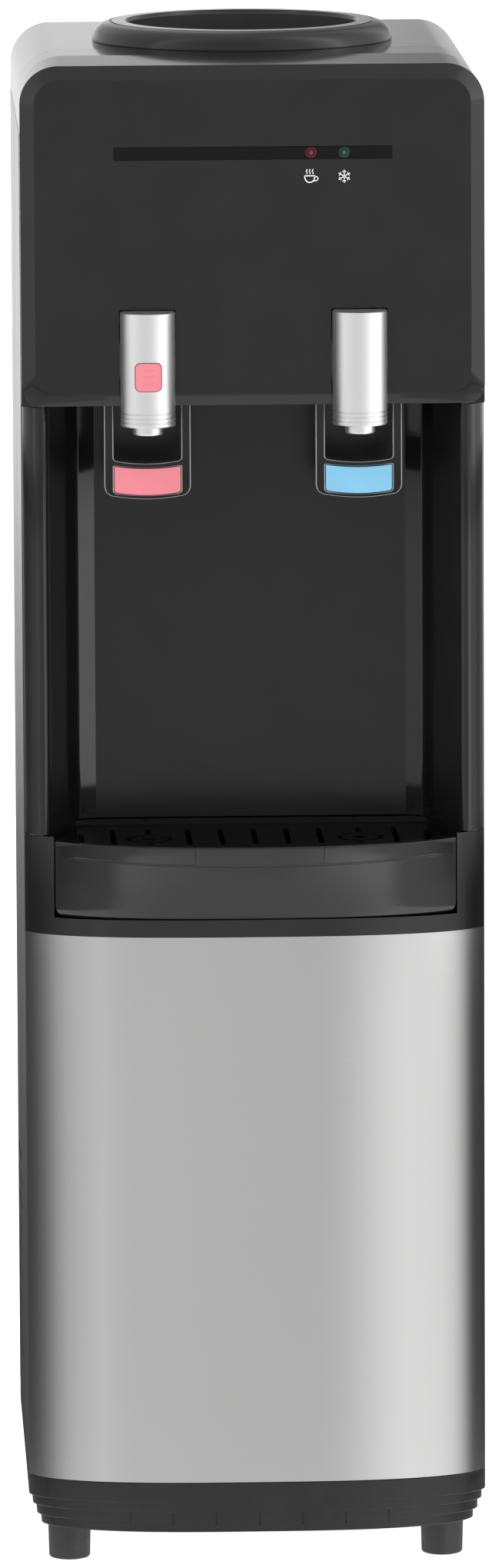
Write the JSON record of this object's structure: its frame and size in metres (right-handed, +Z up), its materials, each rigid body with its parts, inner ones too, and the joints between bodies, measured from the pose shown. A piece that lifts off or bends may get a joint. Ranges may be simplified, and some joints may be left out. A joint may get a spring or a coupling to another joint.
{
  "type": "floor-standing top-loading hot and cold water dispenser",
  "caption": "Black floor-standing top-loading hot and cold water dispenser with a steel lower front, two lever taps and a drip tray.",
  "frame": {"origin": "on the floor, at the centre of the footprint of the bounding box", "axes": "+Z up, -Y towards the front where the taps are, +X to the right as seen from the front"},
  "size_m": [0.2804, 0.344, 0.938],
  "materials": {
    "satin_black_plastic": "satin",
    "gloss_black_plastic": "gloss",
    "black_paint": "satin",
    "brushed_steel": "brushed",
    "dark_insert": "gloss",
    "satin_silver": "satin metallic coating",
    "pink_plastic": "satin",
    "blue_plastic": "satin",
    "red_lens": "gloss",
    "green_lens": "gloss",
    "white_plastic": "satin",
    "silicone": "matte",
    "stainless": "satin",
    "copper": "satin copper",
    "foam": "matte",
    "galvanised": "matte",
    "mica": "matte",
    "rubber": "matte",
    "red_plastic": "gloss",
    "green_plastic": "gloss"
  },
  "bodies": {
    "cabinet": {"base": "satin_black_plastic", "switch_bezel": "satin_black_plastic", "front_cover": "gloss_black_plastic", "top_cover": "gloss_black_plastic", "alcove_liner": "gloss_black_plastic", "drip_housing": "gloss_black_plastic", "side_panel_left": "black_paint", "side_panel_right": "black_paint", "rear_panel": "black_paint", "compressor": "black_paint", "condenser": "black_paint", "lower_front_panel": "brushed_steel", "indicator_strip": "dark_insert", "hot_tap_cap": "satin_silver", "cold_tap_cap": "satin_silver", "hot_tap_nozzle": "satin_silver", "cold_tap_nozzle": "satin_silver", "led_hot": "red_lens", "led_cold": "green_lens", "cold_tank_baffle": "white_plastic", "hot_tap_body": "white_plastic", "cold_tap_body": "white_plastic", "hot_thermostat": "white_plastic", "drain_outlet": "white_plastic", "hot_feed_hose": "silicone", "hot_outlet_hose": "silicone", "cold_outlet_hose": "silicone", "drain_hose": "silicone", "cold_tank": "stainless", "hot_tank": "stainless", "hot_valve_spring": "stainless", "cold_valve_spring": "stainless", "evaporator_coil": "copper", "suction_line": "copper", "discharge_line": "copper", "filter_drier": "copper", "insulation_jacket": "foam", "insulation_lid": "foam", "tank_shelf": "galvanised", "heater_band": "mica", "foot_front_left": "rubber", "foot_front_right": "rubber", "foot_rear_left": "rubber", "foot_rear_right": "rubber", "cord_inlet": "rubber"},
    "hot_lever_arm": {"hot_lever": "gloss_black_plastic", "hot_lever_pad": "pink_plastic"},
    "cold_lever_arm": {"cold_lever": "gloss_black_plastic", "cold_lever_pad": "blue_plastic"},
    "hot_valve": {"hot_valve_stem": "silicone"},
    "cold_valve": {"cold_valve_stem": "silicone"},
    "child_lock": {"child_lock_button": "pink_plastic"},
    "tray": {"drip_tray": "gloss_black_plastic"},
    "grille": {"drip_grille": "gloss_black_plastic"},
    "bottle_seat": {"bottle_collar": "gloss_black_plastic", "bottle_funnel": "satin_black_plastic", "bottle_probe": "white_plastic"},
    "hot_rocker": {"hot_switch": "red_plastic"},
    "cold_rocker": {"cold_switch": "green_plastic"},
    "drain_plug": {"drain_cap": "white_plastic"}
  },
  "joints": [
    {"name": "hot_lever_hinge", "type": "hinge", "parent": "cabinet", "child": "hot_lever_arm", "pos_m": [-0.064, -0.118, 0.752], "axis": [1, 0, 0], "range_deg": [0, 10], "stiffness_Nm_per_rad": 1.2, "springref_deg": -5.73},
    {"name": "hot_valve_slide", "type": "slide", "parent": "cabinet", "child": "hot_valve", "axis": [0, 0, -1], "range_m": [0, 0.0047], "stiffness_N_per_m": 120, "springref_m": -0.002, "deforming": ["hot_valve_spring"]},
    {"name": "cold_lever_hinge", "type": "hinge", "parent": "cabinet", "child": "cold_lever_arm", "pos_m": [0.064, -0.118, 0.752], "axis": [1, 0, 0], "range_deg": [0, 10], "stiffness_Nm_per_rad": 1.2, "springref_deg": -5.73},
    {"name": "cold_valve_slide", "type": "slide", "parent": "cabinet", "child": "cold_valve", "axis": [0, 0, -1], "range_m": [0, 0.0047], "stiffness_N_per_m": 120, "springref_m": -0.002, "deforming": ["cold_valve_spring"]},
    {"name": "child_lock_slide", "type": "slide", "parent": "cabinet", "child": "child_lock", "axis": [0, 1, 0], "range_m": [0, 0.0025], "stiffness_N_per_m": 200, "springref_m": -0.001},
    {"name": "tray_slide", "type": "slide", "parent": "cabinet", "child": "tray", "axis": [0, -1, 0], "range_m": [0, 0.11]},
    {"name": "grille_lift", "type": "slide", "parent": "tray", "child": "grille", "axis": [0, 0, 1], "range_m": [0, 0.03]},
    {"name": "bottle_seat_lift", "type": "slide", "parent": "cabinet", "child": "bottle_seat", "axis": [0, 0, 1], "range_m": [0, 0.09]},
    {"name": "hot_switch_rocker", "type": "hinge", "parent": "cabinet", "child": "hot_rocker", "pos_m": [0.0805, 0.144, 0.64], "axis": [1, 0, 0], "range_deg": [0, 16]},
    {"name": "cold_switch_rocker", "type": "hinge", "parent": "cabinet", "child": "cold_rocker", "pos_m": [0.0595, 0.144, 0.64], "axis": [1, 0, 0], "range_deg": [0, 16]},
    {"name": "drain_cap_pull", "type": "slide", "parent": "cabinet", "child": "drain_plug", "axis": [0, 1, 0], "range_m": [0, 0.03]}
  ],
  "couplings": [
    {"joint": "hot_valve_slide", "follows": "hot_lever_hinge", "m_per_rad": 0.0265},
    {"joint": "cold_valve_slide", "follows": "cold_lever_hinge", "m_per_rad": 0.0265}
  ]
}
